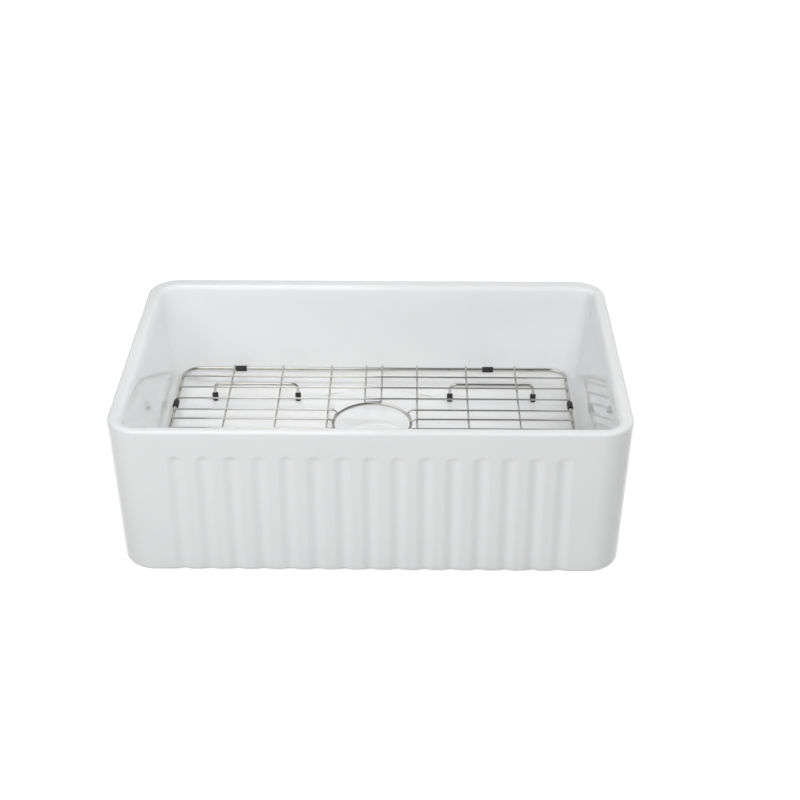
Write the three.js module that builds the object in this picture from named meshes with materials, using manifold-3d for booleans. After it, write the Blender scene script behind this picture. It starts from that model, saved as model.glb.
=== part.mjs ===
// Farmhouse apron front sink with a fluted apron and a lift-out wire grid.
// Units are millimetres, +Z is up, -Y is the apron. The origin lies on the ground
// under the middle of the bounding box of the basin.
import * as THREE from 'three';
import Module from 'manifold-3d';
import { mergeVertices } from 'three/addons/utils/BufferGeometryUtils.js';

const wasm = await Module();
wasm.setup();

// ---------------------------------------------------------------- driving dimensions
// Basin, outside
const WIDTH = 762;
const DEPTH = 499;
const HEIGHT = 244;
const OUTER_CORNER_RADIUS = 49;
const SIDE_DRAFT = 8.5;
const BACK_DRAFT = 8.5;
const RIM_OUTER_RADIUS = 7;
const FOOT_EDGE_RADIUS = 10;

// Basin, inside
const SIDE_RIM = 21;
const FRONT_RIM = 19;
const BACK_RIM = 28;
const RIM_INNER_RADIUS = 8;
const SIDE_WALL_SLOPE = 9.5;
const FRONT_WALL_SLOPE = 9.5;
const BACK_WALL_SLOPE = 7.5;
const BOWL_DEPTH = 172;
const FLOOR_FILLET = 28;
const INNER_CORNER_TOP = 27;
const INNER_CORNER_BOTTOM = 56;

// Underside recess, which leaves a standing skirt all round
const FLOOR_THICKNESS = 27;
const SKIRT = 22;
const RECESS_TAPER = 4;

// Drain outlet
const DRAIN_X = 0;
const DRAIN_Y = 12;
const OUTLET_BORE = 90;
const FLANGE_SEAT = 116;
const FLANGE_SEAT_DEPTH = 2.6;
const OUTLET_LIP_RADIUS = 4;
const DISH_RADIUS = 162;
const DISH_DEPTH = 3.6;

// Flutes of the apron
const FLUTE_COUNT = 15;
const FLUTE_MARGIN = 52;
const FLUTE_WIDTH = 23;
const FLUTE_DEPTH = 3.5;
const FLUTE_TOP_BELOW_RIM = 40;

// Wire grid
const FRAME_WIRE = 6;
const RING_WIRE = 5;
const LEG_WIRE = 5;
const ROD_WIRE = 3;
const WELD_GAP = 0.3;
const GRID_X = -4;
const GRID_STANDOFF = 33.9;
const SIDE_CLEARANCE = 10.9;
const BACK_CLEARANCE = 13.7;
const FRONT_CLEARANCE = 8;
const FRAME_CORNER_RADIUS = 27;
const RING_RADIUS = 62.5;
const ROD_TIP = 1.6;
const ROD_STEP_START = 4;
const ROD_STEP_END = 12;
const INNER_LONG_ROD = 72.5;
const LONG_RODS_PER_SIDE = 3;
const OUTER_BAY = 84.5;
const HAIRPIN_WIDTH = 27;
const HAIRPIN_BEND = 5;
const HAIRPIN_OVERRUN = 2;
const RING_ROW_SPACING = 29;
const RING_ROW_DROP = 8;
const BACK_ROWS = 3;
const FRONT_ROWS = 4;
const RING_TAB = 27;
const TAB_BEND = 4;

// Legs and rubber
const LEG_SPAN = 140;
const LEG_INSET = 125;
const LEG_SETBACK = 48.2;
const LEG_BEND = 11;
const CAP_DIAMETER = 9.8;
const CAP_HEIGHT = 13;
const CAP_BORE_DEPTH = 10;
const CAP_EDGE_RADIUS = 1.6;
const RUBBER_GAP = 0.3;
const FOOT_GAP = 0.3;
const BUMPER_DIAMETER = 9.6;
const BUMPER_LENGTH = 18.5;
const BUMPER_ROW_GAP = 1.2;
const BUMPER_SLOT = 40;
// The sleeves are pushed on by hand, so the left pair sits nearer the corner than the right
const LEFT_BUMPER_INSET = 95.5;
const RIGHT_BUMPER_INSET = 130;

// Facet counts
const CORNER_STEPS = 10;
const EDGE_STEPS = 4;
const LIP_STEPS = 3;
const FLOOR_FILLET_STEPS = 6;
const DRAIN_FACETS = 48;
const FLUTE_DOME_STEPS = 14;
const FLUTE_FACETS = 44;
const WIRE_SIDES = 8;
const RING_STEPS = 40;
const HAIRPIN_BEND_STEPS = 4;
const LEG_BEND_STEPS = 5;
const TAB_STEPS = 4;
const CAP_FACETS = 12;
const BUMPER_STEPS = 14;

// ---------------------------------------------------------------- derived places
const FLOOR_Z = HEIGHT - BOWL_DEPTH;
const RECESS_Z = FLOOR_Z - FLOOR_THICKNESS;
const FRONT_Y = -DEPTH / 2;
const BACK_Y = DEPTH / 2;
const FRAME_Z = FLOOR_Z + GRID_STANDOFF;
const ROW_Z = FRAME_Z + FRAME_WIRE / 2 + WELD_GAP + ROD_WIRE / 2;
const LONG_ROD_Z = ROW_Z - ROD_WIRE - WELD_GAP;
const RING_Z = LONG_ROD_Z - ROD_WIRE / 2 - WELD_GAP - RING_WIRE / 2;
const LEG_BAR_Z = LONG_ROD_Z - ROD_WIRE / 2 - WELD_GAP - LEG_WIRE / 2;
const CUT_OVERRUN = 4;
const MERGE_DISTANCE = 1e-4;
const degrees = Math.PI / 180;

// Horizontal place of each inner wall at a height, before its fillets
const slopeRun = (slope, z) => (HEIGHT - z) * Math.tan(slope * degrees);
const sideWallX = z => WIDTH / 2 - SIDE_RIM - slopeRun(SIDE_WALL_SLOPE, z);
const frontWallY = z => FRONT_Y + FRONT_RIM + slopeRun(FRONT_WALL_SLOPE, z);
const backWallY = z => BACK_Y - BACK_RIM - slopeRun(BACK_WALL_SLOPE, z);

// The grid fills the floor from front to back, and its ring stands over the drain
const HALF_GRID = sideWallX(FRAME_Z) - SIDE_CLEARANCE - FRAME_WIRE / 2;
const FRAME_BACK_Y = backWallY(FRAME_Z) - BACK_CLEARANCE - FRAME_WIRE / 2;
const FRAME_FRONT_Y = frontWallY(FRAME_Z) + FRONT_CLEARANCE + FRAME_WIRE / 2;

// ---------------------------------------------------------------- solid helpers
function toSolid(geometry) {
  const bare = geometry.index ? geometry.toNonIndexed() : geometry.clone();
  for (const name of Object.keys(bare.attributes)) {
    if (name !== 'position') bare.deleteAttribute(name);
  }
  const merged = mergeVertices(bare, MERGE_DISTANCE);
  const mesh = new wasm.Mesh({
    numProp: 3,
    vertProperties: new Float32Array(merged.attributes.position.array),
    triVerts: new Uint32Array(merged.index.array),
  });
  return new wasm.Manifold(mesh);
}

function toGeometry(solid) {
  const mesh = solid.getMesh();
  const geometry = new THREE.BufferGeometry();
  const positions = new Float32Array(mesh.vertProperties);
  geometry.setAttribute('position', new THREE.BufferAttribute(positions, 3));
  geometry.setIndex(new THREE.BufferAttribute(new Uint32Array(mesh.triVerts), 1));
  geometry.computeVertexNormals();
  return geometry;
}

// A rounded rectangle, counter-clockwise seen from above
function roundedOutline(left, right, front, back, radius) {
  const corners = [
    [right - radius, front + radius, -90],
    [right - radius, back - radius, 0],
    [left + radius, back - radius, 90],
    [left + radius, front + radius, 180],
  ];
  const points = [];
  for (const [x, y, start] of corners) {
    for (let step = 0; step <= CORNER_STEPS; step++) {
      const angle = (start + 90 * step / CORNER_STEPS) * degrees;
      points.push([x + radius * Math.cos(angle), y + radius * Math.sin(angle)]);
    }
  }
  return points;
}

// A closed body through outlines of equal point count, listed from the bottom up
function loft(levels) {
  const positions = [];
  const indices = [];
  const count = levels[0].outline.length;
  for (const level of levels) {
    for (const [x, y] of level.outline) positions.push(x, y, level.z);
  }
  for (let level = 0; level + 1 < levels.length; level++) {
    for (let k = 0; k < count; k++) {
      const a = level * count + k;
      const b = level * count + (k + 1) % count;
      indices.push(a, b, b + count, a, b + count, a + count);
    }
  }
  const last = (levels.length - 1) * count;
  for (let k = 1; k + 1 < count; k++) {
    indices.push(0, k + 1, k);
    indices.push(last, last + k, last + k + 1);
  }
  const geometry = new THREE.BufferGeometry();
  geometry.setAttribute('position', new THREE.Float32BufferAttribute(positions, 3));
  geometry.setIndex(indices);
  return geometry;
}

// Steps of a quarter round: run goes radius to 0 while rise goes 0 to radius
function quarterRound(radius, steps, sweep = 90) {
  const list = [];
  for (let step = 0; step <= steps; step++) {
    const angle = sweep * step / steps * degrees;
    list.push({ run: radius * (1 - Math.sin(angle)), rise: radius * (1 - Math.cos(angle)) });
  }
  return list;
}

// ---------------------------------------------------------------- basin
// The walls draw in towards the ground from the widest line, under the rounded rim edge
const outerDraft = z => Math.max(0, 1 - z / (HEIGHT - RIM_OUTER_RADIUS));

function outerOutline(z, inset) {
  const low = outerDraft(z);
  const halfWidth = WIDTH / 2 - SIDE_DRAFT * low - inset;
  const back = BACK_Y - BACK_DRAFT * low - inset;
  return roundedOutline(-halfWidth, halfWidth, FRONT_Y + inset, back, OUTER_CORNER_RADIUS - inset);
}

function outerBody() {
  const levels = [];
  for (const { run, rise } of quarterRound(FOOT_EDGE_RADIUS, EDGE_STEPS)) {
    levels.push({ z: rise, outline: outerOutline(rise, run) });
  }
  for (const { run, rise } of quarterRound(RIM_OUTER_RADIUS, EDGE_STEPS).reverse()) {
    levels.push({ z: HEIGHT - rise, outline: outerOutline(HEIGHT - rise, run) });
  }
  return toSolid(loft(levels));
}

// The bowl: rounded rim edge, sloping walls, and a fillet into the flat floor
function bowlOutline(z, inset) {
  const share = (HEIGHT - z) / BOWL_DEPTH;
  const radius = INNER_CORNER_TOP + (INNER_CORNER_BOTTOM - INNER_CORNER_TOP) * share - inset;
  const halfWidth = sideWallX(z) - inset;
  return roundedOutline(-halfWidth, halfWidth, frontWallY(z) + inset, backWallY(z) - inset, radius);
}

function bowlCut() {
  const levels = [];
  const start = SIDE_WALL_SLOPE * degrees;
  for (let step = 0; step <= FLOOR_FILLET_STEPS; step++) {
    const angle = Math.PI / 2 - (Math.PI / 2 - start) * step / FLOOR_FILLET_STEPS;
    const z = FLOOR_Z + FLOOR_FILLET * (1 - Math.sin(angle));
    const lean = slopeRun(SIDE_WALL_SLOPE, z) - slopeRun(SIDE_WALL_SLOPE, FLOOR_Z + FLOOR_FILLET);
    const inset = FLOOR_FILLET / Math.cos(start) - FLOOR_FILLET * Math.cos(angle) - lean;
    levels.push({ z, outline: bowlOutline(z, Math.max(inset, 0)) });
  }
  for (const { run, rise } of quarterRound(RIM_INNER_RADIUS, EDGE_STEPS, 90 - SIDE_WALL_SLOPE).reverse()) {
    levels.push({ z: HEIGHT - rise, outline: bowlOutline(HEIGHT - rise, -run) });
  }
  levels.push({ z: HEIGHT + CUT_OVERRUN, outline: bowlOutline(HEIGHT, -RIM_INNER_RADIUS) });
  return toSolid(loft(levels));
}

// Hollow under the floor
function recessCut() {
  const radius = OUTER_CORNER_RADIUS - SKIRT;
  const outline = (z, inset) => {
    const low = outerDraft(z);
    const halfWidth = WIDTH / 2 - SIDE_DRAFT * low - SKIRT - inset;
    const back = BACK_Y - BACK_DRAFT * low - SKIRT - inset;
    return roundedOutline(-halfWidth, halfWidth, FRONT_Y + SKIRT + inset, back, radius);
  };
  return toSolid(loft([
    { z: -CUT_OVERRUN, outline: outline(0, 0) },
    { z: 0, outline: outline(0, 0) },
    { z: RECESS_Z, outline: outline(RECESS_Z, RECESS_TAPER) },
  ]));
}

// Outlet bore, flange seat and the shallow dish that drains into it
function drainCut() {
  const bore = OUTLET_BORE / 2;
  const seat = FLANGE_SEAT / 2;
  const dishLow = FLOOR_Z - DISH_DEPTH;
  const seatZ = dishLow - FLANGE_SEAT_DEPTH;
  const profile = [new THREE.Vector2(0, RECESS_Z - CUT_OVERRUN)];
  profile.push(new THREE.Vector2(bore, RECESS_Z - CUT_OVERRUN));
  for (const { run, rise } of quarterRound(OUTLET_LIP_RADIUS, LIP_STEPS).reverse()) {
    profile.push(new THREE.Vector2(bore + run, seatZ - rise));
  }
  profile.push(new THREE.Vector2(seat, seatZ));
  profile.push(new THREE.Vector2(seat + FLANGE_SEAT_DEPTH, dishLow));
  profile.push(new THREE.Vector2(DISH_RADIUS, FLOOR_Z));
  profile.push(new THREE.Vector2(DISH_RADIUS, FLOOR_Z + CUT_OVERRUN));
  profile.push(new THREE.Vector2(0, FLOOR_Z + CUT_OVERRUN));
  const geometry = new THREE.LatheGeometry(profile, DRAIN_FACETS);
  geometry.rotateX(Math.PI / 2);
  geometry.translate(DRAIN_X, DRAIN_Y, 0);
  return toSolid(geometry);
}

// One flute: a round-ended groove whose cutter is a cylinder standing in front of the apron
function fluteCut(x) {
  const half = FLUTE_WIDTH / 2;
  const radius = (half * half + FLUTE_DEPTH * FLUTE_DEPTH) / (2 * FLUTE_DEPTH);
  const top = HEIGHT - FLUTE_TOP_BELOW_RIM - half;
  const profile = [new THREE.Vector2(0, -CUT_OVERRUN), new THREE.Vector2(radius, -CUT_OVERRUN)];
  for (let step = 0; step <= FLUTE_DOME_STEPS; step++) {
    const angle = 90 * step / FLUTE_DOME_STEPS * degrees;
    const across = step === FLUTE_DOME_STEPS ? 0 : radius * Math.cos(angle);
    profile.push(new THREE.Vector2(across, top + radius * Math.sin(angle)));
  }
  const geometry = new THREE.LatheGeometry(profile, FLUTE_FACETS);
  geometry.rotateX(Math.PI / 2);
  geometry.translate(x, FRONT_Y + FLUTE_DEPTH - radius, 0);
  return toSolid(geometry);
}

function basinGeometry() {
  let solid = outerBody().subtract(bowlCut()).subtract(recessCut()).subtract(drainCut());
  const outerFlute = WIDTH / 2 - OUTER_CORNER_RADIUS - FLUTE_MARGIN;
  for (let k = 0; k < FLUTE_COUNT; k++) {
    const share = k / (FLUTE_COUNT - 1);
    solid = solid.subtract(fluteCut(outerFlute * (2 * share - 1)));
  }
  return toGeometry(solid);
}

// ---------------------------------------------------------------- wire helpers
// Polyline with its inner corners turned into arcs of the given radius
function bentPath(points, radius) {
  const path = new THREE.CurvePath();
  let from = points[0];
  for (let k = 1; k + 1 < points.length; k++) {
    const corner = points[k];
    const before = points[k - 1].clone().sub(corner);
    const after = points[k + 1].clone().sub(corner);
    const turn = Math.PI - before.angleTo(after);
    const trim = radius * Math.tan(turn / 2);
    const start = corner.clone().add(before.setLength(trim));
    const end = corner.clone().add(after.setLength(trim));
    path.add(new THREE.LineCurve3(from, start));
    path.add(new THREE.QuadraticBezierCurve3(start, corner, end));
    from = end;
  }
  path.add(new THREE.LineCurve3(from, points[points.length - 1]));
  return path;
}

// Points along a bent path: the ends of its straights and a few on each bend
function bentPoints(points, radius, bendSteps) {
  const list = [];
  for (const curve of bentPath(points, radius).curves) {
    const steps = curve.isLineCurve3 ? 1 : bendSteps;
    for (let k = list.length ? 1 : 0; k <= steps; k++) list.push(curve.getPoint(k / steps));
  }
  return list;
}

// Round wire through a list of points. The rings turn with the path, and up is kept as a
// steady side direction, so that a path in any plane is not twisted. A closed wire joins
// its last ring to its first, and an open one has flat ends.
function wireGeometry(points, diameter, up, closed = false) {
  const count = points.length;
  const positions = [];
  const indices = [];
  for (let k = 0; k < count; k++) {
    const previous = closed ? points[(k + count - 1) % count] : points[Math.max(k - 1, 0)];
    const next = closed ? points[(k + 1) % count] : points[Math.min(k + 1, count - 1)];
    const inward = points[k].clone().sub(previous);
    const outward = next.clone().sub(points[k]);
    if (inward.lengthSq() === 0) inward.copy(outward);
    if (outward.lengthSq() === 0) outward.copy(inward);
    const tangent = inward.normalize().add(outward.normalize()).normalize();
    const widen = 1 / Math.max(tangent.dot(outward), 0.5);
    const side = new THREE.Vector3().crossVectors(up, tangent).normalize();
    const rise = new THREE.Vector3().crossVectors(tangent, side);
    const bend = next.clone().add(previous).addScaledVector(points[k], -2);
    for (let s = 0; s < WIRE_SIDES; s++) {
      const angle = (s + 0.5) / WIRE_SIDES * 2 * Math.PI;
      const spoke = side.clone().multiplyScalar(Math.cos(angle)).addScaledVector(rise, Math.sin(angle));
      spoke.multiplyScalar(diameter / 2);
      if (bend.lengthSq() > 0) {
        const across = bend.clone().normalize();
        spoke.addScaledVector(across, spoke.dot(across) * (widen - 1));
      }
      spoke.add(points[k]);
      positions.push(spoke.x, spoke.y, spoke.z);
    }
  }
  const spans = closed ? count : count - 1;
  for (let k = 0; k < spans; k++) {
    const here = k * WIRE_SIDES;
    const there = (k + 1) % count * WIRE_SIDES;
    for (let s = 0; s < WIRE_SIDES; s++) {
      const t = (s + 1) % WIRE_SIDES;
      indices.push(here + s, here + t, there + t, here + s, there + t, there + s);
    }
  }
  if (!closed) {
    const last = (count - 1) * WIRE_SIDES;
    for (let s = 1; s + 1 < WIRE_SIDES; s++) {
      indices.push(0, s + 1, s);
      indices.push(last, last + s, last + s + 1);
    }
  }
  const geometry = new THREE.BufferGeometry();
  geometry.setAttribute('position', new THREE.Float32BufferAttribute(positions, 3));
  geometry.setIndex(indices);
  return toGeometry(toSolid(geometry));
}

const UP = new THREE.Vector3(0, 0, 1);
const ALONG_Y = new THREE.Vector3(0, 1, 0);
const point = (x, y, z) => new THREE.Vector3(x, y, z);

// ---------------------------------------------------------------- grid wires
// In the grid group x is measured from its own middle, and y and z are those of the basin.
const RING_Y = DRAIN_Y;

function frameGeometry() {
  const radius = FRAME_CORNER_RADIUS;
  const outline = roundedOutline(-HALF_GRID, HALF_GRID, FRAME_FRONT_Y, FRAME_BACK_Y, radius);
  const loop = outline.filter((_, k) => k % (CORNER_STEPS + 1) % 2 === 0);
  return wireGeometry(loop.map(([x, y]) => point(x, y, FRAME_Z)), FRAME_WIRE, UP, true);
}

function ringGeometry() {
  const loop = [];
  for (let k = 0; k < RING_STEPS; k++) {
    const angle = 2 * Math.PI * k / RING_STEPS;
    loop.push(point(RING_RADIUS * Math.cos(angle), RING_Y + RING_RADIUS * Math.sin(angle), RING_Z));
  }
  return wireGeometry(loop, RING_WIRE, UP, true);
}

// End of a front-to-back rod, from its tip on the frame to its step down under the rows
function rodEnd(x, frameY, side) {
  return [
    point(x, frameY + side * ROD_TIP, ROW_Z),
    point(x, frameY - side * ROD_STEP_START, ROW_Z),
    point(x, frameY - side * ROD_STEP_END, LONG_ROD_Z),
  ];
}

function longRodGeometry(x) {
  const points = rodEnd(x, FRAME_FRONT_Y, -1).concat(rodEnd(x, FRAME_BACK_Y, 1).reverse());
  return wireGeometry(points, ROD_WIRE, UP);
}

// Hairpin rod: two legs from the frame to the ring, joined by a bend that lies on the ring
function hairpinGeometry(side) {
  const half = HAIRPIN_WIDTH / 2;
  const frameY = side > 0 ? FRAME_BACK_Y : FRAME_FRONT_Y;
  const seatY = RING_Y + side * (RING_RADIUS - HAIRPIN_OVERRUN);
  const corners = rodEnd(-half, frameY, side);
  corners.push(point(-half, seatY, LONG_ROD_Z), point(half, seatY, LONG_ROD_Z));
  corners.push(...rodEnd(half, frameY, side).reverse());
  return wireGeometry(bentPoints(corners, HAIRPIN_BEND, HAIRPIN_BEND_STEPS), ROD_WIRE, UP);
}

// Side-to-side rod, which lies straight on the long rods and on the frame
function rowGeometry(y) {
  const end = HALF_GRID + ROD_TIP;
  return wireGeometry([point(-end, y, ROW_Z), point(end, y, ROW_Z)], ROD_WIRE, ALONG_Y);
}

// Side-to-side rod that stops at the ring, and ends in a tab bent along it
function cutRowGeometry(side, rowOffset) {
  const y = RING_Y + rowOffset;
  const reach = Math.sqrt(RING_RADIUS * RING_RADIUS - rowOffset * rowOffset);
  const points = [point(side * (HALF_GRID + ROD_TIP), y, ROW_Z)];
  points.push(point(side * (reach + RING_ROW_DROP), y, ROW_Z));
  if (rowOffset === 0) {
    points.push(point(side * (reach + ROD_WIRE / 2), y, LONG_ROD_Z));
    points.push(point(side * (reach - RING_WIRE / 2), y, LONG_ROD_Z));
    return wireGeometry(points, ROD_WIRE, ALONG_Y);
  }
  points.push(point(side * (reach + TAB_BEND), y, LONG_ROD_Z));
  const start = Math.asin(rowOffset / RING_RADIUS);
  const bendAngle = TAB_BEND / RING_RADIUS;
  const tabAngle = RING_TAB / RING_RADIUS;
  for (let k = 0; k <= TAB_STEPS; k++) {
    const angle = start - bendAngle - (tabAngle - bendAngle) * k / TAB_STEPS;
    const across = RING_RADIUS * Math.cos(angle);
    points.push(point(side * across, RING_Y + RING_RADIUS * Math.sin(angle), LONG_ROD_Z));
  }
  return wireGeometry(points, ROD_WIRE, UP);
}

// ---------------------------------------------------------------- legs and rubber
const LEG_END_Z = FLOOR_Z + FOOT_GAP + (CAP_HEIGHT - CAP_BORE_DEPTH) + RUBBER_GAP;

// Inverted U of wire under the long rods, about its own middle
function legGeometry() {
  const half = LEG_SPAN / 2;
  const corners = [point(-half, 0, LEG_END_Z), point(-half, 0, LEG_BAR_Z)];
  corners.push(point(half, 0, LEG_BAR_Z), point(half, 0, LEG_END_Z));
  return wireGeometry(bentPoints(corners, LEG_BEND, LEG_BEND_STEPS), LEG_WIRE, ALONG_Y);
}

// Rubber cap with a blind bore for the leg wire, standing on its closed end
function capGeometry() {
  const outer = CAP_DIAMETER / 2;
  const bore = LEG_WIRE / 2 + RUBBER_GAP;
  const floor = CAP_HEIGHT - CAP_BORE_DEPTH;
  const profile = [new THREE.Vector2(0, 0)];
  for (const { run, rise } of quarterRound(CAP_EDGE_RADIUS, LIP_STEPS)) {
    profile.push(new THREE.Vector2(outer - run, rise));
  }
  profile.push(new THREE.Vector2(outer, CAP_HEIGHT - CAP_EDGE_RADIUS));
  profile.push(new THREE.Vector2(outer - CAP_EDGE_RADIUS / 2, CAP_HEIGHT));
  profile.push(new THREE.Vector2(bore, CAP_HEIGHT));
  profile.push(new THREE.Vector2(bore, floor));
  profile.push(new THREE.Vector2(0, floor));
  const geometry = new THREE.LatheGeometry(profile, CAP_FACETS);
  geometry.rotateX(Math.PI / 2);
  return toGeometry(toSolid(geometry));
}

// Slit rubber sleeve that snaps on the frame wire, lying along X with its slit facing down
function bumperGeometry() {
  const outer = BUMPER_DIAMETER / 2;
  const inner = FRAME_WIRE / 2 + RUBBER_GAP;
  const gapHalf = BUMPER_SLOT / 2 * degrees;
  const start = -Math.PI / 2 + gapHalf;
  const end = 3 * Math.PI / 2 - gapHalf;
  const shape = new THREE.Shape();
  shape.absarc(0, 0, outer, start, end, false);
  shape.absarc(0, 0, inner, end, start, true);
  shape.closePath();
  const options = { depth: BUMPER_LENGTH, bevelEnabled: false, curveSegments: BUMPER_STEPS };
  const geometry = new THREE.ExtrudeGeometry(shape, options);
  geometry.translate(0, 0, -BUMPER_LENGTH / 2);
  geometry.rotateX(Math.PI / 2);
  geometry.rotateZ(Math.PI / 2);
  return toGeometry(toSolid(geometry));
}

// ---------------------------------------------------------------- materials
const glaze = new THREE.MeshStandardMaterial({ color: 0xe6e8e9, roughness: 0.08, metalness: 0 });
const steel = new THREE.MeshStandardMaterial({ color: 0xc4c2bc, roughness: 0.18, metalness: 1 });
const rubber = new THREE.MeshStandardMaterial({ color: 0x0d0d0d, roughness: 0.6, metalness: 0 });

// ---------------------------------------------------------------- assembly
const sink = new THREE.Group();
const grid = new THREE.Group();
grid.position.x = GRID_X;

function addPiece(parent, name, geometry, material, x = 0, y = 0, z = 0) {
  const mesh = new THREE.Mesh(geometry, material);
  mesh.name = name;
  mesh.position.set(x, y, z);
  parent.add(mesh);
  return mesh;
}

addPiece(sink, 'basin', basinGeometry(), glaze);

addPiece(grid, 'grid_frame', frameGeometry(), steel);
addPiece(grid, 'grid_drain_ring', ringGeometry(), steel);

const longRodSpacing = (HALF_GRID - OUTER_BAY - INNER_LONG_ROD) / (LONG_RODS_PER_SIDE - 1);
for (let k = 0; k < LONG_RODS_PER_SIDE; k++) {
  const x = INNER_LONG_ROD + k * longRodSpacing;
  addPiece(grid, `long_rod_${LONG_RODS_PER_SIDE - k}`, longRodGeometry(-x), steel);
  addPiece(grid, `long_rod_${LONG_RODS_PER_SIDE + 1 + k}`, longRodGeometry(x), steel);
}
addPiece(grid, 'hairpin_rod_front', hairpinGeometry(-1), steel);
addPiece(grid, 'hairpin_rod_back', hairpinGeometry(1), steel);

// Full rows share the space between the ring's last row and the frame evenly
function rowPlaces(count, frameY, side) {
  const ringRow = RING_Y + side * RING_ROW_SPACING;
  const pitch = (frameY - ringRow) / (count + 1);
  return Array.from({ length: count }, (_, k) => ringRow + (k + 1) * pitch);
}
const rowY = {
  front: rowPlaces(FRONT_ROWS, FRAME_FRONT_Y, -1),
  back: rowPlaces(BACK_ROWS, FRAME_BACK_Y, 1),
};
for (const end of ['front', 'back']) {
  rowY[end].forEach((y, k) => addPiece(grid, `cross_rod_${end}_${k + 1}`, rowGeometry(y), steel));
}

for (const [side, sideName] of [[-1, 'left'], [1, 'right']]) {
  for (const [row, rowName] of [[-1, 'front'], [0, 'middle'], [1, 'back']]) {
    const name = `ring_rod_${sideName}_${rowName}`;
    addPiece(grid, name, cutRowGeometry(side, row * RING_ROW_SPACING), steel);
  }
}

const legY = { front: FRAME_FRONT_Y + LEG_SETBACK, back: FRAME_BACK_Y - LEG_SETBACK };
for (const [side, sideName] of [[-1, 'left'], [1, 'right']]) {
  for (const end of ['front', 'back']) {
    const x = side * (HALF_GRID - LEG_INSET);
    addPiece(grid, `leg_${sideName}_${end}`, legGeometry(), steel, x, legY[end]);
    for (const [foot, footName] of [[-1, 'inner'], [1, 'outer']]) {
      const footX = x + side * foot * LEG_SPAN / 2;
      addPiece(grid, `foot_cap_${sideName}_${end}_${footName}`, capGeometry(), rubber,
        footX, legY[end], FLOOR_Z + FOOT_GAP);
    }
  }
}

// The sleeves on the sides stop just short of the first full rows
const sideBumperSetback = ROD_WIRE / 2 + BUMPER_ROW_GAP + BUMPER_LENGTH / 2;
const bumperInsets = [[-1, 'left', LEFT_BUMPER_INSET], [1, 'right', RIGHT_BUMPER_INSET]];
for (const [side, sideName, inset] of bumperInsets) {
  for (const [end, endName, frameY] of [[-1, 'front', FRAME_FRONT_Y], [1, 'back', FRAME_BACK_Y]]) {
    const x = side * (HALF_GRID - inset);
    addPiece(grid, `bumper_${endName}_${sideName}`, bumperGeometry(), rubber, x, frameY, FRAME_Z);
    const y = rowY[endName][0] - end * sideBumperSetback;
    const bumper = addPiece(grid, `bumper_${sideName}_${endName}`, bumperGeometry(), rubber,
      side * HALF_GRID, y, FRAME_Z);
    bumper.rotation.z = Math.PI / 2;
  }
}

sink.add(grid);
export default sink;
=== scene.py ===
import math

import bpy
from mathutils import Matrix, Vector


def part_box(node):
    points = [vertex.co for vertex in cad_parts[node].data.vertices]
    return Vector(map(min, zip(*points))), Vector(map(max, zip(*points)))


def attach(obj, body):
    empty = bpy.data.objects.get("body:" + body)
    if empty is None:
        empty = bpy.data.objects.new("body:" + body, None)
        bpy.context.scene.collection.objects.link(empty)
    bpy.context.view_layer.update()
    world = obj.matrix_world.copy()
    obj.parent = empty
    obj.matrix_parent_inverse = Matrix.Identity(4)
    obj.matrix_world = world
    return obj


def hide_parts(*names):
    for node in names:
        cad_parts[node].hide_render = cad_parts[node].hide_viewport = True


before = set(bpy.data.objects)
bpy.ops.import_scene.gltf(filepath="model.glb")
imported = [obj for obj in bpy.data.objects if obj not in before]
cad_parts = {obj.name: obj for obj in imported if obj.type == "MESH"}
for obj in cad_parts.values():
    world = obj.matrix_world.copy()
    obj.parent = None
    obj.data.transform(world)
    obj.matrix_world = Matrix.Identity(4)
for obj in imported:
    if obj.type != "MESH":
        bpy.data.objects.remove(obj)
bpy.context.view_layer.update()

MM = 0.001

# ---------------------------------------------------------------- sizes
# Basin, outside
OUTER_CORNER_RADIUS = 49 * MM
SIDE_DRAFT = 8.5 * MM
BACK_DRAFT = 8.5 * MM
RIM_OUTER_RADIUS = 4.5 * MM
FOOT_EDGE_RADIUS = 10 * MM
# Basin, inside
SIDE_RIM = 21 * MM
FRONT_RIM = 19 * MM
BACK_RIM = 28 * MM
RIM_INNER_RADIUS = 8 * MM
SIDE_WALL_SLOPE = math.radians(9.5)
FRONT_WALL_SLOPE = math.radians(9.5)
BACK_WALL_SLOPE = math.radians(7.5)
BOWL_DEPTH = 172 * MM
FLOOR_FILLET = 28 * MM
INNER_CORNER_TOP = 27 * MM
INNER_CORNER_BOTTOM = 56 * MM
# Underside
FLOOR_THICKNESS = 27 * MM
SKIRT = 22 * MM
RECESS_TAPER = 4 * MM
RECESS_FILLET = 6 * MM
SKIRT_INNER_EDGE = 2 * MM
# Drain outlet
DRAIN_X = 0.0
DRAIN_Y = 12 * MM
OUTLET_BORE = 90 * MM
FLANGE_SEAT = 116 * MM
FLANGE_SEAT_DEPTH = 2.6 * MM
FLANGE_EDGE_SOFTNESS = 1 * MM
OUTLET_LIP_RADIUS = 4 * MM
OUTLET_LOWER_EDGE = 1.5 * MM
DISH_RADIUS = 162 * MM
DISH_DEPTH = 3.6 * MM
DISH_BLEND = 6 * MM
# Flutes of the apron
FLUTE_COUNT = 15
FLUTE_MARGIN = 52 * MM
FLUTE_REACH = 14 * MM
FLUTE_DEPTH = 3.5 * MM
FLUTE_TOP_BELOW_RIM = 38.5 * MM
FLUTE_END_REACH = 11 * MM
FLUTE_FADE_AT_FOOT = 0.6
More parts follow.
